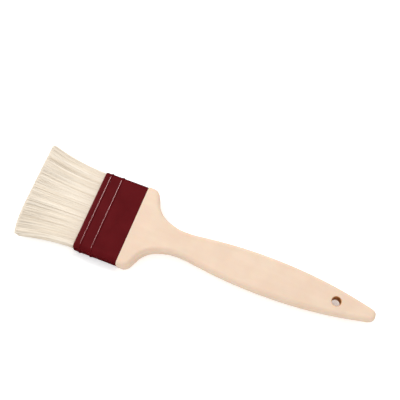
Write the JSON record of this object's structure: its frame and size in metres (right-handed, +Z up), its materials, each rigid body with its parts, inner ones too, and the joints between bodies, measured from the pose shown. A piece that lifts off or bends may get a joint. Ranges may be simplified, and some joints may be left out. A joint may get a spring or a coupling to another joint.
{
  "type": "flat pastry brush",
  "caption": "Flat pastry brush: contoured moulded handle with a hanging hole, beaded plastic ferrule, and a wide pack of soft pale bristles that flex.",
  "frame": {"origin": "under the middle of the whole brush, on the surface it lies on", "axes": "+X along the brush towards the handle's tail, +Y across its width, +Z up through its thickness"},
  "size_m": [0.2542, 0.0694, 0.0125],
  "materials": {
    "handle_plastic": "satin",
    "ferrule_plastic": "gloss",
    "resin": "gloss",
    "filler_board": "matte",
    "bristle": "matte"
  },
  "bodies": {
    "brush_body": {"handle": "handle_plastic", "ferrule": "ferrule_plastic", "resin_setting": "resin", "filler_strip_upper": "filler_board", "filler_strip_lower": "filler_board", "bristle_roots_upper": "bristle", "bristle_roots_middle": "bristle", "bristle_roots_lower": "bristle"},
    "bristle_head": {"bristles_upper": "bristle", "bristles_middle": "bristle", "bristles_lower": "bristle"}
  },
  "joints": [
    {"name": "bristle_flex", "type": "hinge", "parent": "brush_body", "child": "bristle_head", "pos_m": [-0.0858, 0, 0.00625], "axis": [0, 1, 0], "range_deg": [-35, 35], "stiffness_Nm_per_rad": 0.15}
  ]
}
